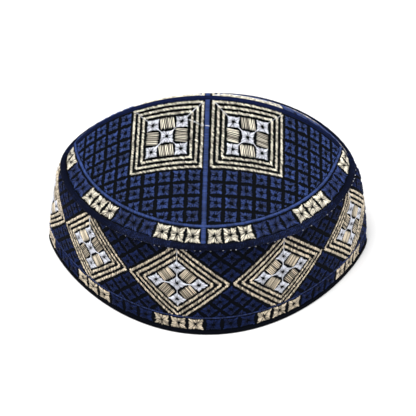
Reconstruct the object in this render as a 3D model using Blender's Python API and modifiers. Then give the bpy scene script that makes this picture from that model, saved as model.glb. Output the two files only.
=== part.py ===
"""A folding kufi: two crown panels that meet in a ridge, a rolled crown edge, a side band and a rim binding.

The cap stands on its rim. X runs along the ridge, -Y is the front and Z is up.
"""

import math

import bmesh
import bpy

MM = 0.001

# Rim of the cap, on the surface it stands on: an oval drawn to a point where the side folds flat
RIM_HALF_WIDTH = 106.7 * MM
RIM_DEPTH = 88.3 * MM
RIM_FOLD_Y = 0.0 * MM
RIM_POINT = 0.79

# Joint of crown and side, further forward and rounder than the rim; a point of 0.5 is a true ellipse
SEAM_HALF_WIDTH = 91.1 * MM
SEAM_FRONT_DEPTH = 81.0 * MM
SEAM_FRONT_POINT = 0.57
SEAM_BACK_DEPTH = 77.3 * MM
SEAM_BACK_POINT = 0.60
SEAM_BACK_LEAN = 0.07
SEAM_FOLD_Y = -5.1 * MM
SEAM_HEIGHT = 68.5 * MM

# Crown: the ridge rises over the joint and falls away to both ends
RIDGE_HALF_LENGTH = 89.3 * MM
RIDGE_RISE = 46.6 * MM
RIDGE_POWER = 0.71

# Cloth
PANEL_THICKNESS = 2.0 * MM
BAND_THICKNESS = 2.0 * MM
BINDING_THICKNESS = 3.0 * MM
BINDING_HEIGHT = 3.4 * MM
BINDING_PROUD = 0.4 * MM
EDGE_RADIUS = 1.9 * MM
RIDGE_WIDTH = 4.0 * MM
RIDGE_THICKNESS = 1.0 * MM
RIDGE_PROUD = 0.4 * MM
GAP = 0.3 * MM

# Side band from rim to joint: (share of the height, share of the way from rim outline to seam outline)
SIDE_PROFILE = (
    (0.00, 0.00),
    (0.10, 0.04),
    (0.26, 0.13),
    (0.42, 0.26),
    (0.58, 0.41),
    (0.74, 0.54),
    (0.90, 0.70),
    (1.00, 1.00),
)

# Crown from ridge to joint: (share of the depth, share of the ridge's rise)
FRONT_PROFILE = (
    (0.00, 1.00),
    (0.20, 0.755),
    (0.45, 0.480),
    (0.60, 0.345),
    (0.75, 0.218),
    (0.88, 0.105),
    (1.00, 0.00),
)
BACK_PROFILE = (
    (0.00, 1.00),
    (0.11, 0.925),
    (0.25, 0.790),
    (0.42, 0.616),
    (0.60, 0.425),
    (0.78, 0.240),
    (0.91, 0.118),
    (1.00, 0.00),
)

AROUND = 72
BAND_ROWS = 9
PANEL_COLUMNS = 36
PANEL_ROWS = 7

NAVY = (0.010, 0.018, 0.060)
BLUE = (0.035, 0.085, 0.270)
DEEP_BLUE = (0.018, 0.045, 0.155)
MIDNIGHT = (0.006, 0.008, 0.020)


def read_table(table, share):
    """The second column of a short table at a share of the first, straight between its rows."""
    for (low, start), (high, end) in zip(table, table[1:]):
        if share <= high:
            return start + (end - start) * (share - low) / (high - low)
    return table[-1][1]


def outline(half_width, depth, fold_y, point, angle):
    """A point of a plan outline; 0 is the right fold and a quarter turn on is the front."""
    side = math.sin(angle)
    reach = math.copysign(depth * abs(side) ** (2.0 * point), side)
    return half_width * math.cos(angle), fold_y - reach


def rim_outline(angle, grow=0.0):
    return outline(RIM_HALF_WIDTH + grow, RIM_DEPTH + grow, RIM_FOLD_Y, RIM_POINT, angle)


def back_lean(x, grow=0.0):
    """How much further back the joint lies at x, because the back half leans to the right."""
    return SEAM_BACK_LEAN * x * (1.0 - min(abs(x) / (SEAM_HALF_WIDTH + grow), 1.0) ** 2)


def seam_outline(angle, grow=0.0):
    if math.sin(angle) > 0.0:
        return outline(SEAM_HALF_WIDTH + grow, SEAM_FRONT_DEPTH + grow, SEAM_FOLD_Y, SEAM_FRONT_POINT, angle)
    x, y = outline(SEAM_HALF_WIDTH + grow, SEAM_BACK_DEPTH + grow, SEAM_FOLD_Y, SEAM_BACK_POINT, angle)
    return x, y + back_lean(x, grow)


def side_point(angle, height):
    """Outer face of the side band."""
    share = read_table(SIDE_PROFILE, height / SEAM_HEIGHT)
    rim_x, rim_y = rim_outline(angle)
    seam_x, seam_y = seam_outline(angle)
    return rim_x + (seam_x - rim_x) * share, rim_y + (seam_y - rim_y) * share, height


def crown_depth(x, side, grow=0.0):
    """Distance from the ridge to the joint at x; side is -1 at the front and +1 at the back."""
    share = min(abs(x) / (SEAM_HALF_WIDTH + grow), 1.0)
    if side < 0.0:
        return (SEAM_FRONT_DEPTH + grow) * (1.0 - share ** 2) ** SEAM_FRONT_POINT - SEAM_FOLD_Y
    reach = (SEAM_BACK_DEPTH + grow) * (1.0 - share ** 2) ** SEAM_BACK_POINT
    return reach + SEAM_FOLD_Y + back_lean(x, grow)


def crown_height(x, y):
    """Outer face of the crown over a point of the plan."""
    side, profile = (-1.0, FRONT_PROFILE) if y < 0.0 else (1.0, BACK_PROFILE)
    share = min(abs(y) / max(crown_depth(x, side), 1.0 * MM), 1.0)
    along = min(abs(x) / RIDGE_HALF_LENGTH, 1.0)
    rise = RIDGE_RISE * (1.0 - along ** 2) ** RIDGE_POWER
    return SEAM_HEIGHT + rise * read_table(profile, share)


def turn(step):
    return 2.0 * math.pi * step / AROUND


def fabric(name, colour, roughness):
    material = bpy.data.materials.new(name)
    material.use_nodes = True
    shader = material.node_tree.nodes["Principled BSDF"]
    shader.inputs["Base Color"].default_value = (*colour, 1.0)
    shader.inputs["Roughness"].default_value = roughness
    shader.inputs["Metallic"].default_value = 0.0
    return material


def add_object(name, data, collection, material):
    piece = bpy.data.objects.new(name, data)
    piece.data.materials.append(material)
    collection.objects.link(piece)
    return piece


def loft(name, sections, closed, collection, material):
    """An open cloth surface through sections with the same number of points."""
    mesh = bpy.data.meshes.new(name)
    build = bmesh.new()
    rows = [[build.verts.new(point) for point in section] for section in sections]
    count = len(rows[0])
    for lower, upper in zip(rows, rows[1:]):
        for i in range(count if closed else count - 1):
            j = (i + 1) % count
            build.faces.new((lower[i], lower[j], upper[j], upper[i]))
    build.to_mesh(mesh)
    build.free()
    mesh.shade_smooth()
    return add_object(name, mesh, collection, material)


def thicken(piece, thickness):
    """The loft is the outer face, and the cloth lies on its inner side."""
    solidify = piece.modifiers.new("Cloth thickness", "SOLIDIFY")
    solidify.thickness = thickness
    solidify.offset = -1.0
    solidify.use_even_offset = True


def make_crown_panel(name, side, collection, material):
    """Half of the crown, from beside the ridge band to the rolled edge."""
    inset = -(EDGE_RADIUS + GAP)
    inner = RIDGE_WIDTH / 2.0 + GAP
    tip = SEAM_HALF_WIDTH + inset - 3.0 * GAP
    while crown_depth(tip, side, inset) < 2.0 * inner:
        tip -= 0.1 * MM
    sections = []
    for row in range(PANEL_ROWS + 1):
        share = row / PANEL_ROWS
        section = []
        for column in range(PANEL_COLUMNS + 1):
            x = tip * math.cos(math.pi * column / PANEL_COLUMNS)
            reach = crown_depth(x, side, inset)
            y = side * (inner + (reach - inner) * share)
            section.append((x, y, crown_height(x, y)))
        sections.append(section)
    if side > 0.0:
        sections.reverse()
    thicken(loft(name, sections, False, collection, material), PANEL_THICKNESS)


def make_ridge_seam(collection, material):
    """The narrow band along the ridge that joins the two crown panels."""
    end = SEAM_HALF_WIDTH - EDGE_RADIUS - 4.0 * GAP
    while crown_depth(end, 1.0, -EDGE_RADIUS - GAP) < RIDGE_WIDTH:
        end -= 0.1 * MM
    sections = []
    for y in (RIDGE_WIDTH / 2.0, 0.0, -RIDGE_WIDTH / 2.0):
        section = []
        for column in range(PANEL_COLUMNS + 1):
            x = end * math.cos(math.pi * column / PANEL_COLUMNS)
            section.append((x, y, crown_height(x, y) + RIDGE_PROUD))
        sections.append(section)
    thicken(loft("ridge_seam", sections, False, collection, material), RIDGE_THICKNESS)


def make_crown_edge(collection, material):
    """The rolled edge where crown and side are sewn together."""
    curve = bpy.data.curves.new("crown_edge_roll", "CURVE")
    curve.dimensions = "3D"
    curve.bevel_depth = EDGE_RADIUS
    curve.bevel_resolution = 2
    spline = curve.splines.new("POLY")
    spline.points.add(AROUND - 1)
    for step in range(AROUND):
        x, y = seam_outline(turn(step))
        spline.points[step].co = (x, y, SEAM_HEIGHT, 1.0)
    spline.use_cyclic_u = True
    add_object("crown_edge_roll", curve, collection, material)


def make_side_band(collection, material):
    """The side wall, from the rim binding up to the rolled edge."""
    bottom = BINDING_HEIGHT + GAP
    top = SEAM_HEIGHT - EDGE_RADIUS - GAP
    sections = []
    for row in range(BAND_ROWS + 1):
        height = bottom + (top - bottom) * row / BAND_ROWS
        sections.append([side_point(turn(step), height) for step in range(AROUND)])
    sections.reverse()
    thicken(loft("side_band", sections, True, collection, material), BAND_THICKNESS)


def make_rim_binding(collection, material):
    """The plain binding round the rim, flat underneath."""
    sections = []
    for height in (BINDING_HEIGHT, 0.0):
        section = [(*rim_outline(turn(step), BINDING_PROUD), height) for step in range(AROUND)]
        sections.append(section)
    thicken(loft("rim_binding", sections, True, collection, material), BINDING_THICKNESS)


def main():
    for piece in list(bpy.data.objects):
        bpy.data.objects.remove(piece)
    collection = bpy.data.collections.new("kufi")
    bpy.context.scene.collection.children.link(collection)
    crown_cloth = fabric("crown_embroidery", BLUE, 0.75)
    side_cloth = fabric("side_embroidery", DEEP_BLUE, 0.80)
    navy_cloth = fabric("navy_edge", NAVY, 0.85)
    binding_cloth = fabric("rim_cloth", MIDNIGHT, 0.90)
    make_crown_panel("crown_front_panel", -1.0, collection, crown_cloth)
    make_crown_panel("crown_back_panel", 1.0, collection, crown_cloth)
    make_ridge_seam(collection, navy_cloth)
    make_crown_edge(collection, navy_cloth)
    make_side_band(collection, side_cloth)
    make_rim_binding(collection, binding_cloth)


main()
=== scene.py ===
"""The looks of an embroidered folding kufi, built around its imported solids.

Every stitch that shows is a small raised thread of its own. Patterns are laid out flat, in metres,
on the cloth of the crown or of the side, and then carried onto the curved walls.
"""

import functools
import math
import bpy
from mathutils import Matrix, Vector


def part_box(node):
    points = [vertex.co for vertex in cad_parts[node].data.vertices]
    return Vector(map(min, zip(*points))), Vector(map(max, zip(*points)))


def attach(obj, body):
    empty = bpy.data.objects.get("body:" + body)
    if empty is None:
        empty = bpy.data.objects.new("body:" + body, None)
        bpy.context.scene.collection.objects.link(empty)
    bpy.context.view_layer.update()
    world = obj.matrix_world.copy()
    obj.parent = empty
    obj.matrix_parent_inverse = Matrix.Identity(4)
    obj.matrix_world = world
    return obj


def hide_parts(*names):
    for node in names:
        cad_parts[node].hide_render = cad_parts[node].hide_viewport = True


bl_info = {
    "name": "Embroidered Folding Kufi",
    "version": (1, 0, 0),
    "blender": (4, 5, 0),
    "location": "3D View > Sidebar > Kufi",
    "description": "Cloth, edges and embroidery of a folding kufi, with a plain stage",
    "category": "Add Mesh",
}

import bmesh
import bpy
import numpy as np
from bpy.props import FloatProperty, FloatVectorProperty, IntProperty, PointerProperty
from mathutils import Vector

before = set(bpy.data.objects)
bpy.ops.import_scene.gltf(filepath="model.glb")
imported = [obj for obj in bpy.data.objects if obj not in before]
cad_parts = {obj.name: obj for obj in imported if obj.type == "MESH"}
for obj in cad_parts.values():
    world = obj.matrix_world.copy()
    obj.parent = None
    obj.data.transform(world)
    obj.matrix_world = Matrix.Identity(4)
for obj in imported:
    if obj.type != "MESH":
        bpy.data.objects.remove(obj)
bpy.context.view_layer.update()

MM = 0.001
BODY = "root"

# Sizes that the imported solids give
edge_low, edge_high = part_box("crown_edge_roll")
rim_low, rim_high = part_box("rim_binding")
ridge_low, ridge_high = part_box("ridge_seam")
EDGE_RADIUS = (edge_high[2] - edge_low[2]) / 2.0
SEAM_HEIGHT = (edge_high[2] + edge_low[2]) / 2.0
SEAM_HALF_WIDTH = (edge_high[0] - edge_low[0]) / 2.0 - EDGE_RADIUS
SEAM_FOLD_Y = -5.1 * MM
SEAM_FRONT_DEPTH = SEAM_FOLD_Y - edge_low[1] - EDGE_RADIUS
SEAM_BACK_DEPTH = edge_high[1] - EDGE_RADIUS - SEAM_FOLD_Y
BINDING_PROUD = 0.4 * MM
RIM_HALF_WIDTH = rim_high[0] - BINDING_PROUD
RIM_DEPTH = rim_high[1] - BINDING_PROUD
BINDING_HEIGHT = rim_high[2] - rim_low[2]
RIDGE_HALF_BAND = (ridge_high[1] - ridge_low[1]) / 2.0
RIDGE_PROUD = 0.4 * MM
RIDGE_RISE = ridge_high[2] - RIDGE_PROUD - SEAM_HEIGHT
RIDGE_HALF_LENGTH = 89.3 * MM

# Forms of the outlines and sections, as in the solids
RIM_POINT = 0.79
SEAM_FRONT_POINT = 0.57
SEAM_BACK_POINT = 0.60
SEAM_BACK_LEAN = 0.07
RIDGE_POWER = 0.71
SIDE_PROFILE = (
    (0.00, 0.00),
    (0.10, 0.04),
    (0.26, 0.13),
    (0.42, 0.26),
    (0.58, 0.41),
    (0.74, 0.54),
    (0.90, 0.70),
    (1.00, 1.00),
)
FRONT_PROFILE = (
    (0.00, 1.00),
    (0.20, 0.755),
    (0.45, 0.480),
    (0.60, 0.345),
    (0.75, 0.218),
    (0.88, 0.105),
    (1.00, 0.00),
)
BACK_PROFILE = (
    (0.00, 1.00),
    (0.11, 0.925),
    (0.25, 0.790),
    (0.42, 0.616),
    (0.60, 0.425),
    (0.78, 0.240),
    (0.91, 0.118),
    (1.00, 0.00),
)

# Cloth: it lies a little below the solids' faces, so that the threads on it end near them
CLOTH_THICKNESS = 2.0 * MM
SUNK = 0.35 * MM
CROWN_CLOTH_END = 90.4 * MM
CLOTH_FROM_RIDGE = 0.2 * MM
CLOTH_SHORT_OF_EDGE = 0.4 * MM

# Slight unevenness of sewn cloth: its height, and lengths of the waves that make it
RIPPLE = 0.22 * MM
RIPPLE_ALONG = 13.0 * MM
RIPPLE_TURN = 17.0 * MM
RIPPLE_ACROSS = 15.0 * MM
RIPPLE_UP = 21.0 * MM

# Ridge band, rolled edge and rim binding
RIDGE_BAND_END = 90.2 * MM
RIDGE_BAND_THICKNESS = 1.2 * MM
RIDGE_BAND_LIFT = 0.1 * MM
RIDGE_ROUNDING = 0.7 * MM
PUCKER = 0.05
BINDING_THICKNESS = 3.0 * MM
BINDING_ROUNDING = 1.1 * MM

# Flat patterns are looked up on a grid of this pitch, worked out from finer paths round or across the cap
GRID_STEP = 1.0 * MM
LOOP_POINTS = 2881
CROWN_REACH = 105.0 * MM
CROWN_DOWN = 100.0 * MM
BORDER_REACH = 22.0 * MM
BORDER_DOWN = 20.0 * MM

# A thread: its ends lie under the cloth, its height varies, and it tapers over a short length
BURIED = 0.15 * MM
LIFT_RANGE = (0.82, 1.12)
TAPER = 0.5 * MM
SHORTEST = 0.5 * MM

# Crown pattern: square cells, drawn closer and leaning a little away from the middle
CELL = 8.92 * MM
CELL_STRETCH = 1.0145
CELL_DRAW = 0.03
CELL_DRAW_REACH = 47.0 * MM
CELL_LEAN = 0.020
CELL_LEAN_FROM = 30.0 * MM
STRIP_LEAN = 0.011
MOTIF_CELLS = 5
STRIP_WIDTH = 3.3 * MM
STRIP_GAP = 0.4 * MM
STRIP_PITCH = 0.6 * MM
STRIP_LIFT = 0.5 * MM
RIDGE_MARGIN = 0.3 * MM
RIDGE_NARROWER = 0.35 * MM
FIELD_COLUMNS = 12
FIELD_ROWS = 10
BORDER_WIDTH = 13.4 * MM
RING_WIDTH = 1.8 * MM
RING_PITCH = 1.5 * MM
RING_SLANT = 1.0 * MM
RING_LIFT = 0.9 * MM

# Squares of the border, counted from a strip to a fold
FRONT_BORDER_SQUARES = 13.8
BACK_BORDER_SQUARES = 13.2
BORDER_GROUP = 3
BORDER_GAP = 0.15 * MM
BORDER_SHIFT = 0.8 * MM
BORDER_FROM_EDGE = 0.4 * MM
BORDER_FROM_RING = 0.7 * MM
BORDER_HOLE = 1.55 * MM

# Whipped threads over the rolled edge, from under its outer side to its inner side
ROLL_START = 0.9 * MM
ROLL_END = 8.1 * MM
ROLL_STITCHES = 5
ROLL_PITCH = 1.05 * MM
ROLL_LIFT = 0.5 * MM
ROLL_LEANS = (0.1 * MM, 0.35 * MM)

# Side pattern
DIAMONDS = 9
DIAMOND_CENTRE = 39.7 * MM
DIAMOND_CELL = 8.67 * MM
DIAMOND_STRETCH = 1.055
DIAMOND_SHIFT = 0.8 * MM
RIM_SQUARE_SHIFT = 0.6 * MM
LATTICE_CELL = 9.45 * MM
LATTICE_ROWS = 4
SIDE_LINE_HEIGHT = 13.7 * MM
SIDE_LINE_WIDTH = 1.1 * MM
SIDE_LINE_PITCH = 0.7 * MM
SIDE_LINE_LIFT = 0.6 * MM
SIDE_LINE_SLANT = 0.15 * MM
SIDE_TOP = 66.4 * MM
RIM_SQUARES = 54
RIM_SQUARE_LOW = 3.9 * MM
RIM_SQUARE_HIGH = 12.6 * MM
RIM_SQUARE_HOLE = 1.7 * MM

# The side's flat length is the wall's at this height
SIDE_MEASURED = 18.0 * MM

# Towards the folds the side's pattern lies back against u, by this much from the second height upwards
SIDE_SLIP = 1.7 * MM
SIDE_SLIP_FULL = 30.0 * MM

# How much the side's upright threads fan out near the front and back: (height, share of their distance)
SIDE_FAN = (
    (8.0 * MM, -0.010),
    (22.0 * MM, 0.010),
    (40.0 * MM, 0.008),
    (60.0 * MM, 0.000),
)

# The right-hand fold of the wall is fuller than the left one, most at this height
FULLER = 1.3 * MM
FULLER_HEIGHT = 40.0 * MM
FULLER_REACH = 32.0 * MM

# Frames of a motif
FRAME_COUNT = 3
FRAME_WIDTH = 1.85 * MM
FRAME_PITCH = 3.15 * MM
FRAME_MARGIN = 0.15 * MM

# Satin threads: real ones lie about 0.4 mm apart, and these are as coarse as they need to be to show
FRAME_STITCH = 1.0 * MM
FRAME_THREAD = 0.74 * FRAME_STITCH
FRAME_SLANT = 0.4 * FRAME_WIDTH
BLOCK_STITCH = 1.0 * MM
BLOCK_THREAD = 0.66 * BLOCK_STITCH
BLOCK_LEAN = 0.75 * MM
LOOSE_THREAD = 0.42 * MM

# Eyelet squares: by turns their threads end at these shares of the hole, and both ends overlap a little
EYELET_ENDS = (1.25, 0.55)
EYELET_SPREAD = 1.06
EYELET_OUTER_WIDTH = 1.5
EYELET_INNER_WIDTH = 0.8
# Eyelet threads start this far along the run of painted end shade, so only their inner ends at the hole get
# painted shade
EYELET_SHADE_START = 0.42

# Machine stitches of the seam
SEAM_PITCH = 5.2 * MM
SEAM_SCATTER = 2.4 * MM
SEAM_BELOW_TOP = 0.6 * MM
SEAM_STITCH = 1.1 * MM
SEAM_THREAD = 0.7 * MM
SEAM_LIFT = 0.6 * MM

# A stray white thread from the left front motif over its frames to the strip, as flat points in millimetres
STRAY_THREAD = (
    (-11.6, 14.6), (-8.6, 16.4), (-6.6, 16.8), (-4.2, 18.8), (-1.6, 19.2), (1.6, 19.6),
)
STRAY_LIFT = 1.5 * MM

# Threads of the plain cloths, drawn about twice as far apart as real ones so that they show
WEAVE_SPACING = 0.7 * MM

# Sizes of the finer unevenness: the twist in a thread, and the wear of a cloth
TWIST_SIZE = MM / 2.6
WEAR_SIZE = MM / 0.6

# The wave texture runs through this many radians for each unit of its scale
WAVE_RADIANS = 20.0

CAP_MIDDLE = (0.0, 0.0, 0.06)
FLOOR_REACH = 6.0


def linear(hex_colour):
    """An sRGB hex colour as linear red, green and blue."""
    values = [int(hex_colour[i:i + 2], 16) / 255.0 for i in (1, 3, 5)]
    return tuple(v / 12.92 if v <= 0.04045 else ((v + 0.055) / 1.055) ** 2.4 for v in values)


def smooth_table(table, share):
    """A smooth curve through a short table that always rises or always falls, straight on past its ends."""
    xs, ys = np.array(table).T
    steps = np.diff(xs)
    slopes = np.diff(ys) / steps
    middle = 2.0 * slopes[:-1] * slopes[1:] / (slopes[:-1] + slopes[1:])
    tangents = np.concatenate([slopes[:1], middle, slopes[-1:]])
    held = np.clip(share, xs[0], xs[-1])
    i = np.clip(np.searchsorted(xs, held, side="right") - 1, 0, len(steps) - 1)
    t = (held - xs[i]) / steps[i]
    start = ys[i] * (1 + 2 * t) * (1 - t) ** 2 + steps[i] * tangents[i] * t * (1 - t) ** 2
    end = ys[i + 1] * t * t * (3 - 2 * t) + steps[i] * tangents[i + 1] * t * t * (t - 1)
    beyond = np.maximum(share - xs[-1], 0.0) * tangents[-1]
    return start + end + beyond


def outline(half_width, depth, fold_y, point, angle):
    """Plan outline; 0 is the right fold and a quarter turn on is the front."""
    side = np.sin(angle)
    reach = np.sign(side) * depth * np.abs(side) ** (2.0 * point)
    return np.stack([half_width * np.cos(angle), fold_y - reach], -1)


def rim_outline(angle, grow=0.0):
    return outline(RIM_HALF_WIDTH + grow, RIM_DEPTH + grow, 0.0, RIM_POINT, angle)


def back_lean(x):
    """How much further back the joint lies at x, because the back half leans to the right."""
    return SEAM_BACK_LEAN * x * (1.0 - np.minimum(np.abs(x) / SEAM_HALF_WIDTH, 1.0) ** 2)


def seam_outline(angle):
    front = outline(SEAM_HALF_WIDTH, SEAM_FRONT_DEPTH, SEAM_FOLD_Y, SEAM_FRONT_POINT, angle)
    back = outline(SEAM_HALF_WIDTH, SEAM_BACK_DEPTH, SEAM_FOLD_Y, SEAM_BACK_POINT, angle)
    back[..., 1] += back_lean(back[..., 0])
    return np.where(np.sin(angle)[..., None] > 0.0, front, back)


def ripple(x, y, z):
    """The slight unevenness of sewn cloth, under half a millimetre."""
    along = np.sin(x / RIPPLE_ALONG + 1.3 * np.sin(y / RIPPLE_TURN))
    return RIPPLE * along * np.sin(y / RIPPLE_ACROSS - z / RIPPLE_UP)


def side_points(angle, height):
    """Outer face of the side band, without its ripple."""
    share = smooth_table(SIDE_PROFILE, height / SEAM_HEIGHT)[..., None]
    plan = rim_outline(angle) * (1.0 - share) + seam_outline(angle) * share
    near = np.clip(1.0 - ((height - FULLER_HEIGHT) / FULLER_REACH) ** 2, 0.0, 1.0)
    plan[..., 0] += FULLER * near * np.maximum(np.cos(angle), 0.0) ** 4
    return np.concatenate([plan, np.broadcast_to(height, angle.shape)[..., None]], -1)


def crown_depth(x, side):
    """Distance from the ridge to the joint at x; side is -1 at the front and +1 at the back."""
    share = np.minimum(np.abs(x) / SEAM_HALF_WIDTH, 1.0)
    if side < 0.0:
        return SEAM_FRONT_DEPTH * (1.0 - share ** 2) ** SEAM_FRONT_POINT - SEAM_FOLD_Y
    return SEAM_BACK_DEPTH * (1.0 - share ** 2) ** SEAM_BACK_POINT + SEAM_FOLD_Y + back_lean(x)


def crown_height(x, y, side):
    """Outer face of the crown over a point of the plan, on the front or back panel."""
    share = np.abs(y) / np.maximum(crown_depth(x, side), 1.0 * MM)
    along = np.minimum(np.abs(x) / RIDGE_HALF_LENGTH, 1.0)
    rise = RIDGE_RISE * (1.0 - along ** 2) ** RIDGE_POWER
    profile = FRONT_PROFILE if side < 0.0 else BACK_PROFILE
    return SEAM_HEIGHT + rise * smooth_table(profile, share)


def arc_lengths(points):
    """Distance along each path of points, whose second last axis runs along it."""
    steps = np.linalg.norm(np.diff(points, axis=-2), axis=-1)
    return np.concatenate([np.zeros_like(steps[..., :1]), np.cumsum(steps, -1)], -1)


def plan_normals(loop):
    """Directions in the plan that point out of a closed loop round the middle of the cap."""
    along = np.roll(loop, -1, 0) - np.roll(loop, 1, 0)
    out = np.stack([along[:, 1], -along[:, 0]], -1)
    out = out / np.linalg.norm(out, axis=-1, keepdims=True)
    return out * np.sign((out * loop).sum(-1, keepdims=True))


class Cloth:
    """A flat pattern's place on a curved wall: u and v in metres on the flat cloth, lift above it.

    With a length it is a closed loop that long, and without one it starts at start_u and ends.
    """

    def __init__(self, points, outward, start_u=0.0, length=None):
        self.points = points
        self.mirrored = outward < 0.0
        self.start_u = start_u
        self.length = length
        if length is None:
            along = np.gradient(points, axis=0)
        else:
            along = np.roll(points, -1, 0) - np.roll(points, 1, 0)
        normals = np.cross(along, np.gradient(points, axis=1)) * outward
        self.normals = normals / np.maximum(np.linalg.norm(normals, axis=-1, keepdims=True), 1e-12)

    def blend(self, grid, u, v):
        """Values of a grid over the cloth at u and v, straight between its points."""
        rows, columns = grid.shape[:2]
        across = (u - self.start_u) / GRID_STEP
        down = np.clip(v / GRID_STEP, 0.0, columns - 1.001)
        if self.length is None:
            across = np.clip(across, 0.0, rows - 1.001)
        else:
            across = np.mod(across * rows / (self.length / GRID_STEP), rows)
        i = np.floor(across).astype(int) % rows
        j = np.floor(down).astype(int)
        i_next = (i + 1) % rows
        fu = (across - np.floor(across))[..., None]
        fv = (down - j)[..., None]
        near = grid[i, j] * (1 - fv) + grid[i, j + 1] * fv
        far = grid[i_next, j] * (1 - fv) + grid[i_next, j + 1] * fv
        return near * (1 - fu) + far * fu

    def place(self, u, v, lift):
        """Points of space over u and v on the cloth."""
        spot = self.blend(self.points, u, v)
        up = self.blend(self.normals, u, v)
        up = up / np.maximum(np.linalg.norm(up, axis=-1, keepdims=True), 1e-12)
        wave = ripple(spot[..., 0], spot[..., 1], spot[..., 2])
        return spot + up * (np.asarray(lift) + wave - SUNK)[..., None]


@functools.lru_cache(maxsize=None)
def ridge_arc():
    """x along the ridge and the arc length to it from the middle."""
    x = np.linspace(0.0, SEAM_HALF_WIDTH * 0.995, 800)
    path = np.stack([x, crown_height(x, np.zeros_like(x), -1.0)], -1)
    return x, arc_lengths(path)


@functools.lru_cache(maxsize=None)
def crown_cloth(side):
    """Columns run down from the ridge at one x; u is measured along the ridge and v down the section."""
    x_table, s_table = ridge_arc()
    count = int(s_table[-1] / GRID_STEP)
    s = np.arange(-count, count + 1) * GRID_STEP
    x = np.sign(s) * np.interp(np.abs(s), s_table, x_table)
    reach = np.linspace(0.0, CROWN_REACH, 420)
    x_grid, y_grid = np.meshgrid(x, reach, indexing="ij")
    z_grid = crown_height(x_grid, y_grid, side)
    length = arc_lengths(np.stack([y_grid, z_grid], -1))
    down = np.arange(0.0, CROWN_DOWN, GRID_STEP)
    y = np.array([np.interp(down, row, reach) for row in length])
    x = np.broadcast_to(x[:, None], y.shape)
    points = np.stack([x, side * y, crown_height(x, y, side)], -1)
    return Cloth(points, side, start_u=s[0])


def closing_up(u, base, other, fan):
    """Where u on the base loop lies on another loop, both given as arc lengths at the same angles.

    Upright threads fan out by a small share near the front and back, and the rest of the difference in
    length is taken up towards the folds.
    """
    result = np.empty_like(u)
    quarter = (len(base) - 1) // 4
    for centre, fold in ((1, 0), (1, 2), (3, 2), (3, 4)):
        centre, fold = centre * quarter, fold * quarter
        low, high = sorted((base[centre], base[fold]))
        here = (u >= low) & (u <= high)
        span = high - low
        offset = u[here] - base[centre]
        share = (offset / span) ** 2
        closer = abs(other[fold] - other[centre]) / span - 1.0
        result[here] = other[centre] + offset * (1.0 + closer * share + fan * (1.0 - share))
    return result


@functools.lru_cache(maxsize=None)
def side_cloth():
    """u runs round the wall from the right fold past the front, and v is the height above the rim."""
    turn = np.linspace(0.0, 2.0 * math.pi, LOOP_POINTS)
    base = arc_lengths(side_points(turn, SIDE_MEASURED))
    length = base[-1]
    count = int(length / GRID_STEP)
    u = np.arange(count) * length / count
    height = np.arange(0.0, SEAM_HEIGHT, GRID_STEP)
    fans = np.interp(height, *zip(*SIDE_FAN))
    to_folds = np.cos(2.0 * math.pi * u / length) ** 2
    twice_round = np.concatenate([turn[:-1] - 2.0 * math.pi, turn])
    angles = []
    for level, fan in zip(height, fans):
        loop = arc_lengths(side_points(turn, level))
        slip = SIDE_SLIP * min(level / SIDE_SLIP_FULL, 1.0) * to_folds
        place = closing_up(u, base, loop, fan) - slip
        both_loops = np.concatenate([loop[:-1] - loop[-1], loop])
        angles.append(np.interp(place, both_loops, twice_round))
    angles = np.stack(angles, 1)
    points = side_points(angles, np.broadcast_to(height, angles.shape))
    return Cloth(points, -1.0, length=length)


def seam_loop():
    """Points of the joint at even distances, from the right fold past the front, and its length."""
    turn = np.linspace(0.0, 2.0 * math.pi, LOOP_POINTS)
    arc = arc_lengths(seam_outline(turn))
    count = int(arc[-1] / GRID_STEP)
    return seam_outline(np.interp(np.arange(count) * arc[-1] / count, arc, turn)), arc[-1]


@functools.lru_cache(maxsize=None)
def border_cloth():
    """u runs round the crown's edge as the joint does, and v inwards from the rolled edge."""
    edge, length = seam_loop()
    reach = np.linspace(0.0, BORDER_REACH, 90)
    plan = edge[:, None, :] - plan_normals(edge)[:, None, :] * reach[None, :, None]
    x, y = plan[..., 0], plan[..., 1]
    z = np.where(y < 0.0, crown_height(x, y, -1.0), crown_height(x, y, 1.0))
    path = np.stack([x, y, z], -1)
    inner = arc_lengths(path)
    down = np.arange(0.0, BORDER_DOWN, GRID_STEP)
    points = np.array([
        np.stack([np.interp(down, row, line[:, k]) for k in range(3)], -1)
        for row, line in zip(inner, path)
    ])
    return Cloth(points, -1.0, length=length)


@functools.lru_cache(maxsize=None)
def roll_cloth():
    """u runs round the rolled edge as the joint does, and v round its section from below."""
    centre, length = seam_loop()
    around = np.arange(0.0, ROLL_END + GRID_STEP, GRID_STEP) / EDGE_RADIUS - 0.5 * math.pi
    out = EDGE_RADIUS * np.cos(around)
    plan = centre[:, None, :] + plan_normals(centre)[:, None, :] * out[None, :, None]
    height = np.broadcast_to(SEAM_HEIGHT + EDGE_RADIUS * np.sin(around), plan.shape[:2])
    return Cloth(np.concatenate([plan, height[..., None]], -1), -1.0, length=length)


def inside_ring(side):
    """A test of whether flat points of a crown panel lie inside the ring and clear of it."""
    border = border_cloth()
    u = np.linspace(0.0, border.length, 720, endpoint=False)
    ring = border.blend(border.points, u, np.full_like(u, BORDER_WIDTH + RING_WIDTH * 0.5 + 0.3 * MM))
    centre = np.array([0.0, SEAM_FOLD_Y])
    offset = ring[:, :2] - centre
    bearing = np.arctan2(offset[:, 1], offset[:, 0])
    order = np.argsort(bearing)
    bearing = bearing[order]
    radius = np.linalg.norm(offset, axis=1)[order]
    cloth = crown_cloth(side)

    def test(u, v):
        plan = cloth.blend(cloth.points, u, v)[..., :2] - centre
        turn = np.arctan2(plan[..., 1], plan[..., 0])
        limit = np.interp(turn, bearing, radius, period=2.0 * math.pi)
        return np.linalg.norm(plan, axis=-1) < limit

    return test


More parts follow.
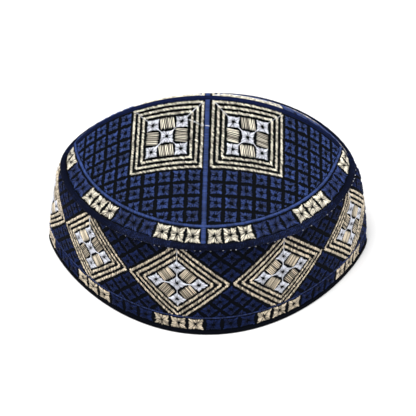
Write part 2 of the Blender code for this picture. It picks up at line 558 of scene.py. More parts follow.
def thread_rows(start, end, width_start, width_end, lift, run=0.0):
    """Rows of u, v at the start, u, v at the end, two widths, a lift and how far along the run of painted
    end shade it starts.
    """
    start, end = np.atleast_2d(start), np.atleast_2d(end)
    columns = np.zeros((len(start), 8))
    columns[:, 0:2] = start
    columns[:, 2:4] = end
    columns[:, 4] = width_start
    columns[:, 5] = width_end
    columns[:, 6] = lift
    columns[:, 7] = run
    return columns


def moved(rows, centre, turn=0.0, stretch=1.0):
    """The same threads turned about their middle, stretched along u and moved to a centre."""
    cos, sin = math.cos(turn), math.sin(turn)
    matrix = np.array([[cos * stretch, sin], [-sin * stretch, cos]])
    result = rows.copy()
    result[:, 0:2] = rows[:, 0:2] @ matrix + centre
    result[:, 2:4] = rows[:, 2:4] @ matrix + centre
    return result


def drawn_in(rows):
    """Crown threads with the rows of cells a little closer away from the middle, and the columns leaning."""
    result = rows.copy()
    for u, v in ((0, 1), (2, 3)):
        away = np.minimum(np.abs(rows[:, u]) / CELL_DRAW_REACH, 1.0)
        result[:, u] = rows[:, u] + CELL_LEAN * (CELL_LEAN_FROM - rows[:, v])
        result[:, v] = rows[:, v] * (1.0 - CELL_DRAW * away ** 2)
    return result


def clipped(rows, inside):
    """Threads cut back to where a test holds; what is left too short goes."""
    share = np.linspace(0.0, 1.0, 13)
    delta = rows[:, 2:4] - rows[:, 0:2]
    u = rows[:, 0:1] + delta[:, 0:1] * share
    v = rows[:, 1:2] + delta[:, 1:2] * share
    good = inside(u, v)
    first = share[np.argmax(good, 1)]
    last = share[len(share) - 1 - np.argmax(good[:, ::-1], 1)]
    kept = good.any(1) & ((last - first) * np.linalg.norm(delta, axis=1) > SHORTEST)
    result = rows.copy()
    result[:, 0:2] = rows[:, 0:2] + delta * first[:, None]
    result[:, 2:4] = rows[:, 0:2] + delta * last[:, None]
    spread = rows[:, 5] - rows[:, 4]
    result[:, 4] = rows[:, 4] + spread * first
    result[:, 5] = rows[:, 4] + spread * last
    return result[kept]


def eyelet(half_u, half_v, hole, per_side, bow, lift):
    """Threads from the outline of a square, bowed in and with drawn out corners, to a ragged hole."""
    t = (np.arange(per_side) + 0.5) / per_side * 2.0 - 1.0
    depth = np.where(np.arange(per_side) % 2 == 0, *EYELET_ENDS) * hole
    inner_width = EYELET_INNER_WIDTH * math.pi * hole / per_side
    sides = []
    for turn in range(4):
        across, out = (half_u, half_v) if turn % 2 == 0 else (half_v, half_u)
        reach = 1.0 - bow * (1.0 - t ** 2) + 0.5 * bow * np.abs(t) ** 7
        outer = np.stack([t * across * reach / reach.max() * EYELET_SPREAD, out * reach], -1)
        inner = np.stack([t, np.ones_like(t)], -1)
        inner = inner / np.linalg.norm(inner, axis=-1, keepdims=True) * depth[:, None]
        outer_width = EYELET_OUTER_WIDTH * across / per_side
        rows = thread_rows(outer, inner, outer_width, inner_width, lift, EYELET_SHADE_START)
        sides.append(moved(rows, (0.0, 0.0), turn * math.pi / 2.0))
    return np.concatenate(sides)


def satin_block(half_u, half_v, lift, upright):
    """Side by side threads across a block, each leaning a little to the next."""
    span = half_u if upright else half_v
    reach = half_v if upright else half_u
    count = max(int(round(2.0 * span / BLOCK_STITCH)), 1)
    t = (np.arange(count) + 0.5) / count * 2.0 - 1.0
    near = np.clip(t * span - BLOCK_LEAN, -span, span)
    far = np.clip(t * span + BLOCK_LEAN, -span, span)
    edge = np.full_like(t, reach)
    start, end = np.stack([near, -edge], -1), np.stack([far, edge], -1)
    if not upright:
        start, end = start[:, ::-1], end[:, ::-1]
    return thread_rows(start, end, BLOCK_THREAD, BLOCK_THREAD, lift)


def frame_square(half, lift):
    """Four bars of slanted satin that meet at mitred corners."""
    inner = half - FRAME_WIDTH
    count = int(2.0 * half / FRAME_STITCH)
    t = (np.arange(count) + 0.5) / count * 2.0 - 1.0
    bars = []
    for turn in range(4):
        slant = FRAME_SLANT if turn % 2 == 0 else -FRAME_SLANT
        head = np.stack([np.clip(t * half + slant, -half, half), np.full_like(t, half)], -1)
        foot = np.stack([np.clip(t * half - slant, -inner, inner), np.full_like(t, inner)], -1)
        rows = thread_rows(head, foot, FRAME_THREAD, FRAME_THREAD, lift)
        bars.append(moved(rows, (0.0, 0.0), -turn * math.pi / 2.0))
    return np.concatenate(bars)


def motif(cell, thread, drawn_corners):
    """A square of three frames round nine cells, eyelets and blocks by turns: beige and white threads.

    White threads link the middle eyelet with the corner ones. At the drawn corners they cross the frames.
    """
    lift = thread.lift
    half = MOTIF_CELLS * cell / 2.0 - FRAME_MARGIN
    beige = [frame_square(half - k * FRAME_PITCH, lift) for k in range(FRAME_COUNT)]
    white = []
    for i in (-1, 0, 1):
        for j in (-1, 0, 1):
            centre = np.array([i * cell, j * cell])
            if (i + j) % 2 == 0:
                reach = cell * (0.46 if i == 0 else 0.43)
                square = eyelet(
                    reach, reach, hole=cell * 0.16, per_side=thread.eyelet_threads, bow=0.06, lift=lift)
                white.append(moved(square, centre))
            else:
                sizes = (cell * 0.51, cell * 0.44) if i == 0 else (cell * 0.44, cell * 0.51)
                block = satin_block(*sizes, lift, i == 0)
                beige.append(moved(block, centre))
    for i in (-1, 1):
        for j in (-1, 1):
            corner = np.array([i, j]) * cell
            link = LOOSE_THREAD * 1.2
            white.append(thread_rows(corner * 0.38, corner * 0.65, link, link, lift))
            if (i, j) in drawn_corners:
                out = np.array([i, j]) * half
                side = np.array([-j, i]) * LOOSE_THREAD
                for start, end in ((corner * 1.35, out * 0.80), (out * 0.76 + side, out * 0.95)):
                    white.append(thread_rows(start, end, LOOSE_THREAD, LOOSE_THREAD, lift * 1.3))
    return np.concatenate(beige), np.concatenate(white)


def satin_cord(cloth_length, v, width, pitch, lift, slant):
    """A cord of short threads laid across its own line, all the way round a closed cloth."""
    count = int(cloth_length / pitch)
    u = np.arange(count) * cloth_length / count
    start = np.stack([u - slant, np.full_like(u, v - width / 2.0)], -1)
    end = np.stack([u + slant, np.full_like(u, v + width / 2.0)], -1)
    return thread_rows(start, end, pitch * 1.05, pitch * 1.05, lift)


def strip(length_from, length_to, width, pitch, lift):
    """A flat band of threads laid across it, running down a panel."""
    count = int((length_to - length_from) / pitch)
    v = length_from + (np.arange(count) + 0.5) * pitch
    start = np.stack([-STRIP_LEAN * v - width / 2.0, v], -1)
    end = np.stack([-STRIP_LEAN * v + width / 2.0, v], -1)
    return thread_rows(start, end, pitch * 1.25, pitch * 1.25, lift)


# Faces of a thread; its corners are its start, three across near it, three across near its end, and its end
THREAD_FACES = np.array([
    (0, 2, 1), (0, 3, 2), (0, 1, 3),
    (1, 2, 5), (1, 5, 4), (2, 3, 6), (2, 6, 5), (3, 1, 4), (3, 4, 6),
    (4, 5, 7), (5, 6, 7), (6, 4, 7),
])
THREAD_ACROSS = (0.5, 0.0, 0.5, 1.0, 0.0, 0.5, 1.0, 0.5)


def stitch_mesh(name, batches, finish, seed, ragged=0.2 * MM):
    """One mesh of closed raised threads; batches are pairs of a cloth and its rows."""
    rng = np.random.default_rng(seed)
    all_points, all_faces, all_tones, all_uvs = [], [], [], []
    base = 0
    for cloth, rows in batches:
        count = len(rows)
        if not count:
            continue
        start, end = rows[:, 0:2], rows[:, 2:4]
        delta = end - start
        length = np.linalg.norm(delta, axis=1)
        along = delta / length[:, None]
        across = np.stack([-along[:, 1], along[:, 0]], -1)
        shifts = rng.normal(0.0, 1.0, (4, count, 1)) * ragged
        start = start + along * shifts[0] + across * shifts[1] * 0.5
        end = end + along * shifts[2] + across * shifts[3] * 0.5
        delta = end - start
        lift = rows[:, 6] * rng.uniform(*LIFT_RANGE, count)
        taper = np.clip(TAPER / length, 0.05, 0.2)[:, None]
        flat = [start]
        lifts = [np.full(count, -BURIED)]
        runs = [np.zeros(count)]
        for share in (taper, 1.0 - taper):
            middle = start + delta * share
            half = (rows[:, 4:5] + (rows[:, 5:6] - rows[:, 4:5]) * share) / 2.0
            flat += [middle - across * half, middle, middle + across * half]
            lifts += [np.full(count, -BURIED * 0.3), lift, np.full(count, -BURIED * 0.3)]
            runs += [share[:, 0]] * 3
        flat.append(end)
        lifts.append(np.full(count, -BURIED))
        runs.append(np.ones(count))
        flat = np.stack(flat, 1)
        points = cloth.place(flat[..., 0], flat[..., 1], np.stack(lifts, 1))
        corners = flat.shape[1]
        pattern = THREAD_FACES[:, ::-1] if cloth.mirrored else THREAD_FACES
        offsets = base + np.arange(count)[:, None, None] * corners
        all_faces.append((pattern[None] + offsets).reshape(-1, 3))
        all_points.append(points.reshape(-1, 3))
        all_tones.append(np.repeat(rng.uniform(0.0, 1.0, count), corners))
        # Each corner's share along its thread, the run of the painted shade at the thread's ends, goes into
        # the UV map's first axis
        run = rows[:, 7:8] + (1.0 - rows[:, 7:8]) * np.stack(runs, 1)
        sideways = np.tile(THREAD_ACROSS, (count, 1))
        all_uvs.append(np.stack([run, sideways], -1).reshape(-1, 2))
        base += count * corners
    points = np.concatenate(all_points)
    faces = np.concatenate(all_faces)
    mesh = bpy.data.meshes.new(name)
    mesh.from_pydata(points.tolist(), [], faces.tolist())
    tone = mesh.attributes.new("tone", "FLOAT", "POINT")
    tone.data.foreach_set("value", np.concatenate(all_tones))
    layer = mesh.uv_layers.new(name="thread")
    layer.uv.foreach_set("vector", np.concatenate(all_uvs)[faces.ravel()].ravel())
    mesh.shade_smooth()
    return finished_piece(name, mesh, finish)


def finished_piece(name, mesh, finish):
    """An object for a mesh, with its finish and its material slot, on the cap's one body."""
    piece = bpy.data.objects.new(name, mesh)
    bpy.context.scene.collection.objects.link(piece)
    piece.data.materials.append(shared_material(finish))
    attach(piece, BODY)
    return piece


def grid_mesh(name, points, flat, closed):
    """A sheet of quads through a grid of points, with its flat place as UVs in metres."""
    rows, columns = points.shape[:2]
    index = np.arange(rows * columns).reshape(rows, columns)
    after = np.roll(index, -1, 0) if closed else index[1:]
    before = index if closed else index[:-1]
    faces = np.stack([before[:, :-1], after[:, :-1], after[:, 1:], before[:, 1:]], -1).reshape(-1, 4)
    mesh = bpy.data.meshes.new(name)
    mesh.from_pydata(points.reshape(-1, 3).tolist(), [], faces.tolist())
    layer = mesh.uv_layers.new(name="cloth")
    layer.uv.foreach_set("vector", flat.reshape(-1, 2)[faces.ravel()].ravel())
    mesh.shade_smooth()
    return mesh


def sweep_mesh(name, rings, flat, closed):
    """A closed tube through rings of points, capped at both ends unless it is a loop."""
    count, sides = rings.shape[:2]
    index = np.arange(count * sides).reshape(count, sides)
    after = np.roll(index, -1, 0) if closed else index[1:]
    before = index if closed else index[:-1]
    faces = np.stack(
        [before, after, np.roll(after, -1, 1), np.roll(before, -1, 1)], -1).reshape(-1, 4).tolist()
    if not closed:
        faces += [index[0].tolist(), index[-1][::-1].tolist()]
    mesh = bpy.data.meshes.new(name)
    mesh.from_pydata(rings.reshape(-1, 3).tolist(), [], faces)
    layer = mesh.uv_layers.new(name="cloth")
    corners = np.concatenate([np.array(face) for face in faces])
    layer.uv.foreach_set("vector", flat.reshape(-1, 2)[corners].ravel())
    mesh.shade_smooth()
    return mesh


def outward(mesh):
    """Turns every face of a closed mesh outwards."""
    build = bmesh.new()
    build.from_mesh(mesh)
    bmesh.ops.recalc_face_normals(build, faces=build.faces)
    build.to_mesh(mesh)
    build.free()


# Materials

def add_node(tree, kind, inputs=None, links=None, **settings):
    """Adds a node, sets its settings and inputs, and links outputs into its inputs."""
    node = tree.nodes.new(kind)
    for key, value in settings.items():
        setattr(node, key, value)
    for key, value in (inputs or {}).items():
        node.inputs[key].default_value = value
    for key, output in (links or {}).items():
        tree.links.new(output, node.inputs[key])
    return node


def new_material(name, roughness, specular, sheen, tint):
    material = bpy.data.materials.new(name)
    material.use_nodes = True
    tree = material.node_tree
    shader = tree.nodes["Principled BSDF"]
    shader.inputs["Roughness"].default_value = roughness
    shader.inputs["Specular IOR Level"].default_value = specular
    shader.inputs["Sheen Weight"].default_value = sheen
    shader.inputs["Sheen Roughness"].default_value = 0.45
    shader.inputs["Sheen Tint"].default_value = (*tint, 1.0)
    return material, tree, shader


def thread_material(name, dark, light, gloss):
    """Rayon or cotton thread: soft gloss, a tone of its own for each, and painted shade towards the ends
    where it dips into the cloth.
    """
    material, tree, shader = new_material(name, roughness=0.46, specular=gloss, sheen=0.1, tint=light)
    tone = add_node(tree, "ShaderNodeAttribute", attribute_name="tone")
    colour = add_node(tree, "ShaderNodeMix", links={"Factor": tone.outputs["Fac"]}, data_type="RGBA")
    colour.inputs["A"].default_value = (*dark, 1.0)
    colour.inputs["B"].default_value = (*light, 1.0)
    # Painted shade: the colour falls to a fifth over the last part of each thread's run at either end, where
    # the thread goes into the cloth
    flat = add_node(tree, "ShaderNodeUVMap", uv_map="thread")
    axes = add_node(tree, "ShaderNodeSeparateXYZ", links={"Vector": flat.outputs["UV"]})
    from_middle = add_node(
        tree, "ShaderNodeMath", {1: 0.5}, {0: axes.outputs["X"]}, operation="SUBTRACT")
    away = add_node(tree, "ShaderNodeMath", links={0: from_middle.outputs[0]}, operation="ABSOLUTE")
    painted_end_shade = add_node(
        tree, "ShaderNodeMapRange", {"From Min": 0.32, "From Max": 0.5, "To Min": 1.0, "To Max": 0.2},
        {"Value": away.outputs[0]})
    shaded = add_node(
        tree, "ShaderNodeMix", {"Factor": 1.0}, data_type="RGBA", blend_type="MULTIPLY")
    tree.links.new(colour.outputs["Result"], shaded.inputs["A"])
    tree.links.new(painted_end_shade.outputs["Result"], shaded.inputs["B"])
    tree.links.new(shaded.outputs["Result"], shader.inputs["Base Color"])
    place = add_node(tree, "ShaderNodeTexCoord")
    ply = add_node(
        tree, "ShaderNodeTexNoise", {"Scale": 1.0 / TWIST_SIZE, "Detail": 1.0},
        {"Vector": place.outputs["Object"]})
    bump = add_node(
        tree, "ShaderNodeBump", {"Strength": 0.3, "Distance": 0.06 * MM}, {"Height": ply.outputs["Fac"]})
    tree.links.new(bump.outputs["Normal"], shader.inputs["Normal"])
    return material


def cloth_material(name, dark, light, sheen):
    """Cotton in plain weave: matt, with a faint grain where its threads cross."""
    material, tree, shader = new_material(name, roughness=0.9, specular=0.04, sheen=sheen, tint=light)
    flat = add_node(tree, "ShaderNodeUVMap", uv_map="cloth")
    scale = 2.0 * math.pi / WAVE_RADIANS / WEAVE_SPACING
    warp = add_node(
        tree, "ShaderNodeTexWave", {"Scale": scale, "Distortion": 0.8}, {"Vector": flat.outputs["UV"]},
        wave_type="BANDS", bands_direction="X")
    weft = add_node(
        tree, "ShaderNodeTexWave", {"Scale": scale, "Distortion": 0.8}, {"Vector": flat.outputs["UV"]},
        wave_type="BANDS", bands_direction="Y")
    weave = add_node(
        tree, "ShaderNodeMath", links={0: warp.outputs["Fac"], 1: weft.outputs["Fac"]}, operation="MULTIPLY")
    place = add_node(tree, "ShaderNodeTexCoord")
    worn = add_node(
        tree, "ShaderNodeTexNoise", {"Scale": 1.0 / WEAR_SIZE, "Detail": 3.0},
        {"Vector": place.outputs["Object"]})
    both = add_node(
        tree, "ShaderNodeMath", links={0: weave.outputs[0], 1: worn.outputs["Fac"]}, operation="MULTIPLY")
    colour = add_node(tree, "ShaderNodeMix", links={"Factor": both.outputs[0]}, data_type="RGBA")
    colour.inputs["A"].default_value = (*dark, 1.0)
    colour.inputs["B"].default_value = (*light, 1.0)
    tree.links.new(colour.outputs["Result"], shader.inputs["Base Color"])
    bump = add_node(
        tree, "ShaderNodeBump", {"Strength": 0.5, "Distance": 0.2 * MM}, {"Height": weave.outputs[0]})
    tree.links.new(bump.outputs["Normal"], shader.inputs["Normal"])
    return material


class KufiColours(bpy.types.PropertyGroup):
    """Colours of the threads and cloths, each from its sRGB value"""

    crown_blue: FloatVectorProperty(
        name="Crown blue", description="Thread of the blue squares on the crown",
        subtype="COLOR", default=linear("#23376B"))
    border_blue: FloatVectorProperty(
        name="Border blue", description="Thread of the crown border's blue squares and the side's line",
        subtype="COLOR", default=linear("#1D2C58"))
    side_blue: FloatVectorProperty(
        name="Side blue", description="Thread of the blue diamonds and squares on the side",
        subtype="COLOR", default=linear("#0E1B41"))
    cord_blue: FloatVectorProperty(
        name="Cord blue", description="Thread of the crown's ring and strips",
        subtype="COLOR", default=linear("#22376B"))
    beige: FloatVectorProperty(
        name="Beige", description="Thread of the frames and the light squares on the crown",
        subtype="COLOR", default=linear("#E0D4C1"))
    side_beige: FloatVectorProperty(
        name="Side beige", description="Thread of the frames and the light squares on the side",
        subtype="COLOR", default=linear("#CFC1AA"))
    white: FloatVectorProperty(
        name="White", description="Thread of the white squares and the seam stitches",
        subtype="COLOR", default=linear("#D8DAE4"))
    edge_navy: FloatVectorProperty(
        name="Edge thread", description="Thread whipped over the rolled edge",
        subtype="COLOR", default=linear("#0F1A3A"))
    navy: FloatVectorProperty(
        name="Navy", description="Cloth of the rolled edge",
        subtype="COLOR", default=linear("#0A1026"))
    ridge_navy: FloatVectorProperty(
        name="Ridge navy", description="Cloth of the band along the ridge",
        subtype="COLOR", default=linear("#121C40"))
    crown_ground: FloatVectorProperty(
        name="Crown ground", description="Cloth that shows between the squares of the crown",
        subtype="COLOR", default=linear("#080A0D"))
    side_ground: FloatVectorProperty(
        name="Side ground", description="Cloth that shows between the diamonds of the side",
        subtype="COLOR", default=linear("#04060C"))
    binding: FloatVectorProperty(
        name="Binding", description="Cloth of the rim binding",
        subtype="COLOR", default=linear("#03050D"))


class KufiThread(bpy.types.PropertyGroup):
    """How the satin stitches are laid"""

    lift: FloatProperty(
        name="Lift", description="Height of a satin thread above the cloth",
        unit="LENGTH", default=0.5 * MM, min=0.1 * MM, max=1.5 * MM)
    eyelet_threads: IntProperty(
        name="Eyelet threads", description="Threads on each side of an eyelet square",
        default=8, min=4, max=16)


class KufiStage(bpy.types.PropertyGroup):
    """Camera and light"""

    elevation: FloatProperty(
        name="Elevation", description="Angle of the view above the floor",
        subtype="ANGLE", default=math.radians(37.0))
    turn: FloatProperty(
        name="Turn", description="Angle of the view to the right of the front",
        subtype="ANGLE", default=math.radians(1.1))
    distance: FloatProperty(
        name="Distance", description="Camera to the middle of the cap",
        unit="LENGTH", default=0.6778)
    aim_height: FloatProperty(
        name="Aim height", description="Height of the point that the camera faces",
        unit="LENGTH", default=0.0588)
    lens: FloatProperty(
        name="Lens", description="Focal length on a 36 mm sensor, in millimetres",
        default=91.56, min=20.0, max=300.0)
    shift: FloatVectorProperty(
        name="Shift", description="Where the picture is cut, as shares of its width",
        size=2, default=(0.0007, -0.0910))
    key_power: FloatProperty(
        name="Key light", description="Power of the large soft light, in watts",
        default=19.0, min=0.0)
    fill_power: FloatProperty(
        name="Fill light", description="Power of the soft light from the other side, in watts",
        default=5.0, min=0.0)
    sky: FloatProperty(
        name="Sky", description="Strength of the even light from all round",
        default=0.75, min=0.0)
    floor: FloatVectorProperty(
        name="Floor", description="Colour of the plain floor",
        subtype="COLOR", default=linear("#DCDCDC"))


def shades(colour, low, high):
    """A darker and a paler tone of one dye; the paler one is also a little greyer."""
    grey = sum(colour) / 3.0
    dark = tuple(c * low for c in colour)
    light = tuple(min(c * high + 0.08 * grey, 1.0) for c in colour)
    return dark, light


@functools.lru_cache(maxsize=None)
def shared_material(name):
    """One material for each finish, made the first time it is asked for.

    Each row names the material, its darkest and its palest tone beside the dye, and its gloss or its sheen.
    """
    colours = bpy.context.scene.kufi_colours
    threads = {
        "crown_blue": ("blue_rayon_thread_satin_stitched", 0.25, 1.75, 0.25),
        "border_blue": ("mid_blue_rayon_thread_satin_stitched", 0.2, 1.8, 0.2),
        "side_blue": ("deep_blue_rayon_thread_satin_stitched", 0.25, 1.75, 0.1),
        "cord_blue": ("bright_blue_rayon_cord_satin_stitched", 0.55, 1.45, 0.25),
        "edge_navy": ("navy_cotton_thread_whipped", 0.1, 2.2, 0.1),
        "beige": ("beige_rayon_thread_satin_stitched", 0.32, 1.35, 0.4),
        "side_beige": ("tan_rayon_thread_satin_stitched", 0.3, 1.4, 0.3),
        "white": ("white_rayon_thread_satin_stitched", 0.55, 1.15, 0.4),
    }
    cloths = {
        "navy": ("dark_navy_cotton_plain_woven", 0.2, 2.6, 0.1),
        "ridge_navy": ("navy_cotton_plain_woven", 0.2, 2.6, 0.1),
        "crown_ground": ("black_cotton_plain_woven", 0.7, 1.6, 0.0),
        "side_ground": ("ink_cotton_plain_woven", 0.7, 1.6, 0.0),
        "binding": ("midnight_cotton_bias_binding", 0.7, 1.6, 0.05),
    }
    colour = getattr(colours, name)
    if name in threads:
        title, low, high, gloss = threads[name]
        return thread_material(title, *shades(colour, low, high), gloss)
    title, low, high, sheen = cloths[name]
    return cloth_material(title, *shades(colour, low, high), sheen)


def solid_cloth(piece, thickness):
    """Gives an open outer face its thickness on the inner side."""
    solidify = piece.modifiers.new("Cloth thickness", "SOLIDIFY")
    solidify.thickness = thickness
    solidify.offset = -1.0
    return piece


class KUFI_OT_crown_cloth(bpy.types.Operator):
    """Makes the ground cloth of the two crown panels"""

    bl_idname = "kufi.crown_cloth"
    bl_label = "Crown cloth"

    def execute(self, context):
        for name, node, side in (
            ("crown_front_cloth", "crown_front_panel", -1.0),
            ("crown_back_cloth", "crown_back_panel", 1.0),
        ):
            angle = np.linspace(0.0, math.pi, 181)
            x = CROWN_CLOTH_END * np.cos(angle)
            share = np.linspace(0.0, 1.0, 61)
            x_grid, share_grid = np.meshgrid(x, share, indexing="ij")
            reach = crown_depth(x_grid, side) - CLOTH_FROM_RIDGE - CLOTH_SHORT_OF_EDGE
            y_grid = CLOTH_FROM_RIDGE + np.maximum(reach, 0.0) * share_grid
            z_grid = crown_height(x_grid, y_grid, side)
            points = np.stack([x_grid, side * y_grid, z_grid], -1)
            points[..., 2] += ripple(points[..., 0], points[..., 1], points[..., 2]) - SUNK
            if side > 0.0:
                points = points[::-1]
            mesh = grid_mesh(name, points, points[..., :2], False)
            piece = finished_piece(name, mesh, "crown_ground")
            solid_cloth(piece, CLOTH_THICKNESS)
            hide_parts(node)
        return {"FINISHED"}


class KUFI_OT_side_cloth(bpy.types.Operator):
    """Makes the ground cloth of the side band"""

    bl_idname = "kufi.side_cloth"
    bl_label = "Side cloth"

    def execute(self, context):
        cloth = side_cloth()
        u = np.linspace(0.0, cloth.length, 432, endpoint=False)
        v = np.linspace(1.0 * MM, SEAM_HEIGHT - 1.0 * MM, 49)
        u_grid, v_grid = np.meshgrid(u, v, indexing="ij")
        points = cloth.place(u_grid, v_grid, np.zeros_like(u_grid))
        mesh = grid_mesh("side_band_cloth", points[::-1], np.stack([u_grid, v_grid], -1)[::-1], True)
        piece = finished_piece("side_band_cloth", mesh, "side_ground")
        solid_cloth(piece, CLOTH_THICKNESS)
        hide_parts("side_band")
        return {"FINISHED"}


class KUFI_OT_edges(bpy.types.Operator):
    """Makes the ridge band, the rolled edge of the crown and the rim binding"""

    bl_idname = "kufi.edges"
    bl_label = "Edges"

    def execute(self, context):
        self.ridge_band()
        self.rolled_edge()
        self.rim_binding()
        return {"FINISHED"}

    def ridge_band(self):
        """The narrow band over the ridge, rounded where the two panels meet at an angle."""
        x = RIDGE_BAND_END * np.cos(np.linspace(0.0, math.pi, 181))
        t = np.linspace(-1.0, 1.0, 9)
        y = t * (RIDGE_HALF_BAND - RIDGE_NARROWER)
        soft = np.sqrt(y ** 2 + RIDGE_ROUNDING ** 2)
        rings = []
        for station in x:
            at = np.full_like(y, station)
            front = crown_height(at, soft, -1.0)
            back = crown_height(at, soft, 1.0)
            top = np.where(y < 0.0, front, back) + RIDGE_PROUD * (1.0 - t ** 6) + RIDGE_BAND_LIFT
            upper = np.stack([at, y, top], -1)
            lower = np.stack([at, y, top - RIDGE_BAND_THICKNESS], -1)[::-1]
            rings.append(np.concatenate([upper, lower]))
        rings = np.array(rings)
        mesh = sweep_mesh("ridge_band", rings, rings[..., :2], False)
        outward(mesh)
        piece = finished_piece("ridge_band", mesh, "ridge_navy")
        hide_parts("ridge_seam")

    def rolled_edge(self):
        """A roll of cloth, slightly puckered, and the threads whipped over it."""
        angle = np.linspace(0.0, 2.0 * math.pi, 361)[:-1]
        centre = seam_outline(angle)
        turn = np.linspace(0.0, 2.0 * math.pi, 17)[:-1]
        pucker = 1.0 + PUCKER * np.sin(angle * 71.0) * np.sin(angle * 13.0)
        radius = EDGE_RADIUS * pucker[:, None]
        plan = centre[:, None, :] + plan_normals(centre)[:, None, :] * (radius * np.cos(turn))[..., None]
        height = SEAM_HEIGHT + radius * np.sin(turn)
        rings = np.concatenate([plan, height[..., None]], -1)
        length = arc_lengths(centre)[:, None] + np.zeros_like(radius * turn)
        flat = np.stack([length, EDGE_RADIUS * turn + np.zeros_like(length)], -1)
        mesh = sweep_mesh("crown_edge_cloth", rings, flat, True)
        outward(mesh)
        piece = finished_piece("crown_edge_cloth", mesh, "navy")
        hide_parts("crown_edge_roll")

        cloth = roll_cloth()
        count = int(cloth.length / ROLL_PITCH)
        u = np.arange(count) * cloth.length / count
        step = (ROLL_END - ROLL_START) / ROLL_STITCHES
        rows = []
        for k in range(ROLL_STITCHES):
            v = ROLL_START + k * step
            lean = ROLL_LEANS[k % 2]
            start = np.stack([u + lean, np.full_like(u, v - 0.15 * step)], -1)
            end = np.stack([u - lean, np.full_like(u, v + 1.15 * step)], -1)
            rows.append(thread_rows(start, end, 0.9 * ROLL_PITCH, 0.9 * ROLL_PITCH, ROLL_LIFT))
        stitch_mesh("crown_edge_threads", [(cloth, np.concatenate(rows))], "edge_navy", seed=81)

    def rim_binding(self):
        """The binding, a rectangle with rounded corners swept round the rim."""
        angle = np.linspace(0.0, 2.0 * math.pi, 361)[:-1]
        section = []
        half = BINDING_THICKNESS / 2.0
        side, top = half - BINDING_ROUNDING, BINDING_HEIGHT - BINDING_ROUNDING
        corners = ((side, BINDING_ROUNDING), (side, top), (-side, top), (-side, BINDING_ROUNDING))
        for quarter, (corner_x, corner_z) in enumerate(corners):
            for step in range(4):
                turn = (quarter - 1.0 + step / 3.0) * 0.5 * math.pi
                section.append((
                    corner_x + BINDING_ROUNDING * math.cos(turn) - half + BINDING_PROUD,
                    corner_z + BINDING_ROUNDING * math.sin(turn)))
        rings = np.stack(
            [np.concatenate([rim_outline(angle, grow), np.full((len(angle), 1), height)], -1)
             for grow, height in section], 1)
        length = arc_lengths(rings[:, 0])[:, None] + np.zeros((len(angle), len(section)))
        around = np.arange(len(section)) * 0.8 * MM + np.zeros_like(length)
        mesh = sweep_mesh("rim_binding_cloth", rings, np.stack([length, around], -1), True)
        outward(mesh)
        piece = finished_piece("rim_binding_cloth", mesh, "binding")
        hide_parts("rim_binding")


def column_start():
    """Where the first column of cells begins beside the strip."""
    return STRIP_WIDTH / 2.0 + STRIP_GAP


def row_start():
    """Where the first row of cells begins below the ridge band."""
    return RIDGE_HALF_BAND + RIDGE_MARGIN


class KUFI_OT_crown_motifs(bpy.types.Operator):
    """Embroiders the four framed squares round the middle of the crown"""

    bl_idname = "kufi.crown_motifs"
    bl_label = "Crown motifs"

    def execute(self, context):
        beige, white = motif(CELL, context.scene.kufi_thread, ((-1, -1), (1, -1)))
        half = MOTIF_CELLS * CELL / 2.0
        beige_batches, white_batches = [], []
        for side in (-1.0, 1.0):
            for hand in (-1.0, 1.0):
                centre = (hand * (column_start() + half * CELL_STRETCH), row_start() + half)
                cloth = crown_cloth(side)
                beige_batches.append((cloth, drawn_in(moved(beige, centre, 0.0, CELL_STRETCH))))
                white_batches.append((cloth, drawn_in(moved(white, centre, 0.0, CELL_STRETCH))))
        stray = np.array(STRAY_THREAD) * MM
        stray = thread_rows(stray[:-1], stray[1:], LOOSE_THREAD, LOOSE_THREAD, STRAY_LIFT)
        white_batches.append((crown_cloth(-1.0), stray))
        stitch_mesh("crown_motif_frames", beige_batches, "beige", seed=11)
        stitch_mesh("crown_motif_eyelets", white_batches, "white", seed=12)
        return {"FINISHED"}


class KUFI_OT_crown_field(bpy.types.Operator):
    """Embroiders the blue eyelet squares of the crown"""

    bl_idname = "kufi.crown_field"
    bl_label = "Crown field"

    def execute(self, context):
        thread = context.scene.kufi_thread
        square = eyelet(
            CELL * 0.395, CELL * 0.40, hole=CELL * 0.22,
            per_side=thread.eyelet_threads, bow=0.08, lift=thread.lift)
        for name, side, seed in (("crown_front_squares", -1.0, 21), ("crown_back_squares", 1.0, 22)):
            rows = []
            for hand in (-1.0, 1.0):
                for column in range(FIELD_COLUMNS):
                    for row in range(FIELD_ROWS):
                        if column < MOTIF_CELLS and row < MOTIF_CELLS:
                            continue
                        centre = (
                            hand * (column_start() + (column + 0.5) * CELL * CELL_STRETCH),
                            row_start() + (row + 0.5) * CELL)
                        rows.append(moved(square, centre, 0.0, CELL_STRETCH))
            rows = clipped(drawn_in(np.concatenate(rows)), inside_ring(side))
            batches = [(crown_cloth(side), rows)]
            stitch_mesh(name, batches, "crown_blue", seed, ragged=0.27 * MM)
        return {"FINISHED"}


